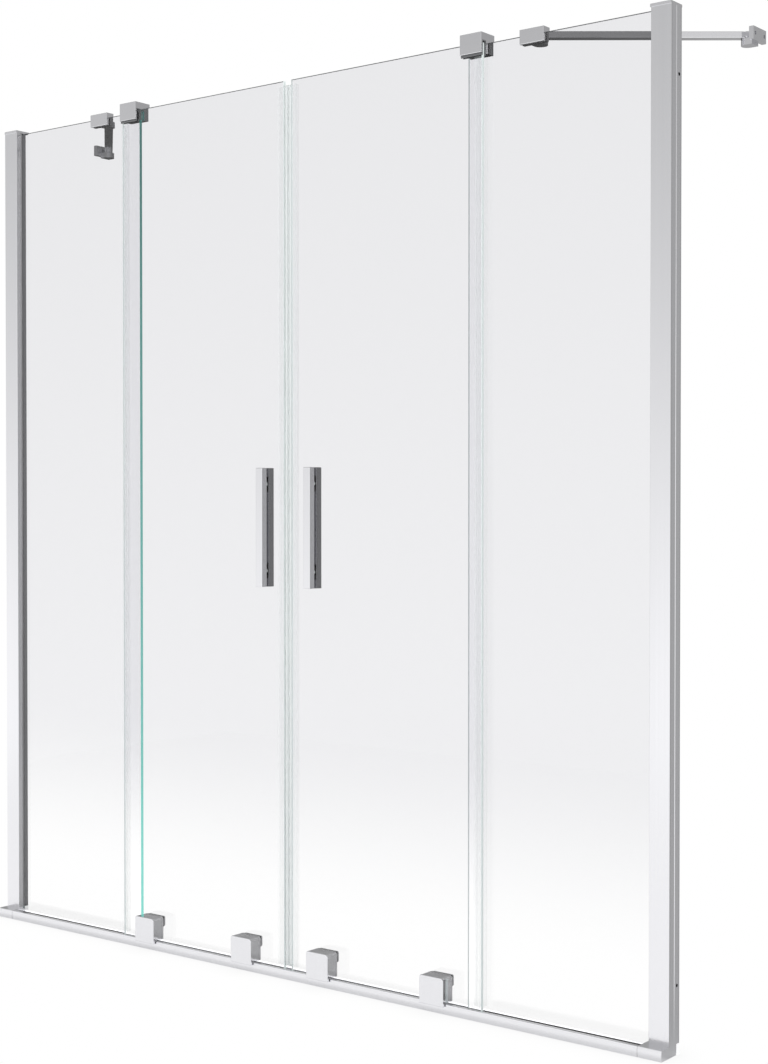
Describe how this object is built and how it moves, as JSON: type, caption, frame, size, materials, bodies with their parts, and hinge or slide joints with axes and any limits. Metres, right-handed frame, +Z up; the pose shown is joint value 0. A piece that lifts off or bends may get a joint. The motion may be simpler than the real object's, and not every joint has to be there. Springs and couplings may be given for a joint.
{
  "type": "sliding bath screen",
  "caption": "Frameless-look sliding bath screen: clear glass doors roll on a low rail between fixed panels held by wall posts and angled support bars.",
  "frame": {"origin": "middle of the bottom rail's underside", "axes": "+X along the screen to the right seen from the room, +Y into the bath, +Z up"},
  "size_m": [1.434, 0.3268, 1.519],
  "materials": {
    "profile_metal": "polished bright silver",
    "cast_chrome": "polished",
    "clear_glass": "clear toughened",
    "clear_seal": "clear",
    "grey_gasket": "matt",
    "white_nylon": "satin",
    "magnet": "matt",
    "black_rubber": "matt",
    "steel": "plain"
  },
  "bodies": {
    "frame": {"bottom_rail": "profile_metal", "profile_top_caps": "profile_metal", "glazing_gaskets": "grey_gasket", "sill_gaskets": "grey_gasket", "guide_liners": "white_nylon", "glass_pads": "grey_gasket", "grub_screws": "steel", "profile_lock_screws": "steel", "clamp_pivot_pins": "steel", "wall_channel_left": "profile_metal", "cover_profile_left": "profile_metal", "rail_end_cap_left": "profile_metal", "fixed_glass_left": "clear_glass", "top_guide_left": "cast_chrome", "bar_clamp_left": "cast_chrome", "wall_channel_right": "profile_metal", "cover_profile_right": "profile_metal", "rail_end_cap_right": "profile_metal", "fixed_glass_right": "clear_glass", "top_guide_right": "cast_chrome", "bar_clamp_right": "cast_chrome"},
    "left_door": {"door_glass_left": "clear_glass", "magnetic_seal_left": "clear_seal", "magnet_strip_left": "magnet", "rear_seal_left": "clear_seal", "handle_front_bar_left": "cast_chrome", "handle_rear_bar_left": "cast_chrome", "handle_studs_left": "steel", "handle_washers_left": "black_rubber", "carriage_clamp_plates_left": "cast_chrome", "carriage_pads_left": "black_rubber", "carriage_bolts_left": "steel", "roller_axles_left": "steel", "carriage_left_inner": "cast_chrome", "carriage_left_outer": "cast_chrome"},
    "left_inner_roller": {"roller_left_inner": "white_nylon"},
    "left_outer_roller": {"roller_left_outer": "white_nylon"},
    "left_bar": {"support_bar_left": "cast_chrome"},
    "left_wall_plate": {"wall_plate_left": "cast_chrome", "wall_pivot_pin_left": "steel"},
    "right_door": {"door_glass_right": "clear_glass", "magnetic_seal_right": "clear_seal", "magnet_strip_right": "magnet", "rear_seal_right": "clear_seal", "handle_front_bar_right": "cast_chrome", "handle_rear_bar_right": "cast_chrome", "handle_studs_right": "steel", "handle_washers_right": "black_rubber", "carriage_clamp_plates_right": "cast_chrome", "carriage_pads_right": "black_rubber", "carriage_bolts_right": "steel", "roller_axles_right": "steel", "carriage_right_inner": "cast_chrome", "carriage_right_outer": "cast_chrome"},
    "right_inner_roller": {"roller_right_inner": "white_nylon"},
    "right_outer_roller": {"roller_right_outer": "white_nylon"},
    "right_bar": {"support_bar_right": "cast_chrome"},
    "right_wall_plate": {"wall_plate_right": "cast_chrome", "wall_pivot_pin_right": "steel"}
  },
  "joints": [
    {"name": "left_door_slide", "type": "slide", "parent": "frame", "child": "left_door", "axis": [-1, 0, 0], "range_m": [0, 0.28]},
    {"name": "left_inner_roller_spin", "type": "hinge", "parent": "left_door", "child": "left_inner_roller", "pos_m": [-0.084, -0.02375, 0.0272], "axis": [0, -1, 0], "range_deg": [0, 1459]},
    {"name": "left_outer_roller_spin", "type": "hinge", "parent": "left_door", "child": "left_outer_roller", "pos_m": [-0.316, -0.02375, 0.0272], "axis": [0, -1, 0], "range_deg": [0, 1459]},
    {"name": "left_bar_swivel", "type": "hinge", "parent": "frame", "child": "left_bar", "pos_m": [-0.465, 0.0305, 1.496], "axis": [0, 0, -1], "range_deg": [-20, 30]},
    {"name": "left_plate_swivel", "type": "hinge", "parent": "left_bar", "child": "left_wall_plate", "pos_m": [-0.6975, 0.24745, 1.502], "axis": [0, 0, -1], "range_deg": [-30, 20]},
    {"name": "right_door_slide", "type": "slide", "parent": "frame", "child": "right_door", "axis": [1, 0, 0], "range_m": [0, 0.28]},
    {"name": "right_inner_roller_spin", "type": "hinge", "parent": "right_door", "child": "right_inner_roller", "pos_m": [0.084, -0.02375, 0.0272], "axis": [0, 1, 0], "range_deg": [0, 1459]},
    {"name": "right_outer_roller_spin", "type": "hinge", "parent": "right_door", "child": "right_outer_roller", "pos_m": [0.316, -0.02375, 0.0272], "axis": [0, 1, 0], "range_deg": [0, 1459]},
    {"name": "right_bar_swivel", "type": "hinge", "parent": "frame", "child": "right_bar", "pos_m": [0.477, 0.0305, 1.496], "axis": [0, 0, 1], "range_deg": [-20, 30]},
    {"name": "right_plate_swivel", "type": "hinge", "parent": "right_bar", "child": "right_wall_plate", "pos_m": [0.6975, 0.27332, 1.51], "axis": [0, 0, 1], "range_deg": [-30, 20]}
  ],
  "couplings": [
    {"joint": "left_inner_roller_spin", "follows": "left_door_slide", "rad_per_m": 90.909},
    {"joint": "left_outer_roller_spin", "follows": "left_door_slide", "rad_per_m": 90.909},
    {"joint": "left_plate_swivel", "follows": "left_bar_swivel", "ratio": -1},
    {"joint": "right_inner_roller_spin", "follows": "right_door_slide", "rad_per_m": 90.909},
    {"joint": "right_outer_roller_spin", "follows": "right_door_slide", "rad_per_m": 90.909},
    {"joint": "right_plate_swivel", "follows": "right_bar_swivel", "ratio": -1}
  ]
}
